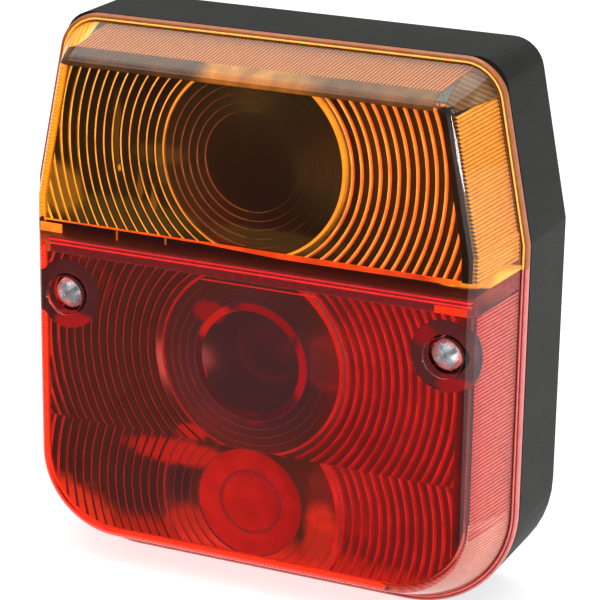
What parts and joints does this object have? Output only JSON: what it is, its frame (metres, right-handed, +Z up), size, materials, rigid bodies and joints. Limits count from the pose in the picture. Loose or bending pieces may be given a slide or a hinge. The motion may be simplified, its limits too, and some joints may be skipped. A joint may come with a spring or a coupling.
{
  "type": "tail light cluster",
  "caption": "Rear combination lamp: black moulded housing, amber and red lens with ring optics, screwed on over the bulbs, fixed flat to a panel.",
  "frame": {"origin": "on the mounting face, midway between the two fixing holes", "axes": "+Y out of the mounting face, away from the lens; +Z up along the lamp's height; +X to the right as seen from the front"},
  "size_m": [0.098, 0.0305, 0.104],
  "materials": {
    "black_moulding": "fine satin moulding grain, charcoal black",
    "seal_rubber": "dull black",
    "amber_lens": "clear amber, polished outside, rings and prisms inside",
    "red_lens": "clear red, polished outside, rings and prisms inside",
    "zinc_screw": "bright zinc",
    "grommet_rubber": "dull black",
    "holder_steel": "zinc plated sheet",
    "contact_brass": "rolled brass strip",
    "bulb_glass": "clear, polished",
    "filament_wire": "drawn wire",
    "bulb_cap": "drawn brass, slightly dulled",
    "bulb_insulator": "black fused insulator",
    "solder": "dull solder",
    "rivet": "zinc plated"
  },
  "bodies": {
    "root": {"housing": "black_moulding", "lens_seal": "seal_rubber", "amber_lens": "amber_lens", "red_lens": "red_lens", "lens_screw_left": "zinc_screw", "lens_screw_right": "zinc_screw", "cable_grommet": "grommet_rubber", "earth_strip": "contact_brass", "indicator_holder": "holder_steel", "stop_holder": "holder_steel", "tail_holder": "holder_steel", "indicator_contact": "contact_brass", "stop_contact": "contact_brass", "tail_contact": "contact_brass", "indicator_bulb_glass": "bulb_glass", "stop_bulb_glass": "bulb_glass", "tail_bulb_glass": "bulb_glass", "indicator_bulb_filament": "filament_wire", "stop_bulb_filament": "filament_wire", "tail_bulb_filament": "filament_wire", "indicator_bulb_cap": "bulb_cap", "stop_bulb_cap": "bulb_cap", "tail_bulb_cap": "bulb_cap", "indicator_bulb_insulator": "bulb_insulator", "stop_bulb_insulator": "bulb_insulator", "tail_bulb_insulator": "bulb_insulator", "indicator_bulb_solder": "solder", "stop_bulb_solder": "solder", "tail_bulb_solder": "solder", "indicator_holder_rivet_low": "rivet", "indicator_holder_rivet_high": "rivet", "stop_holder_rivet_low": "rivet", "stop_holder_rivet_high": "rivet", "tail_holder_rivet_low": "rivet", "tail_holder_rivet_high": "rivet", "indicator_contact_rivet": "rivet", "stop_contact_rivet": "rivet", "tail_contact_rivet": "rivet"}
  },
  "joints": []
}
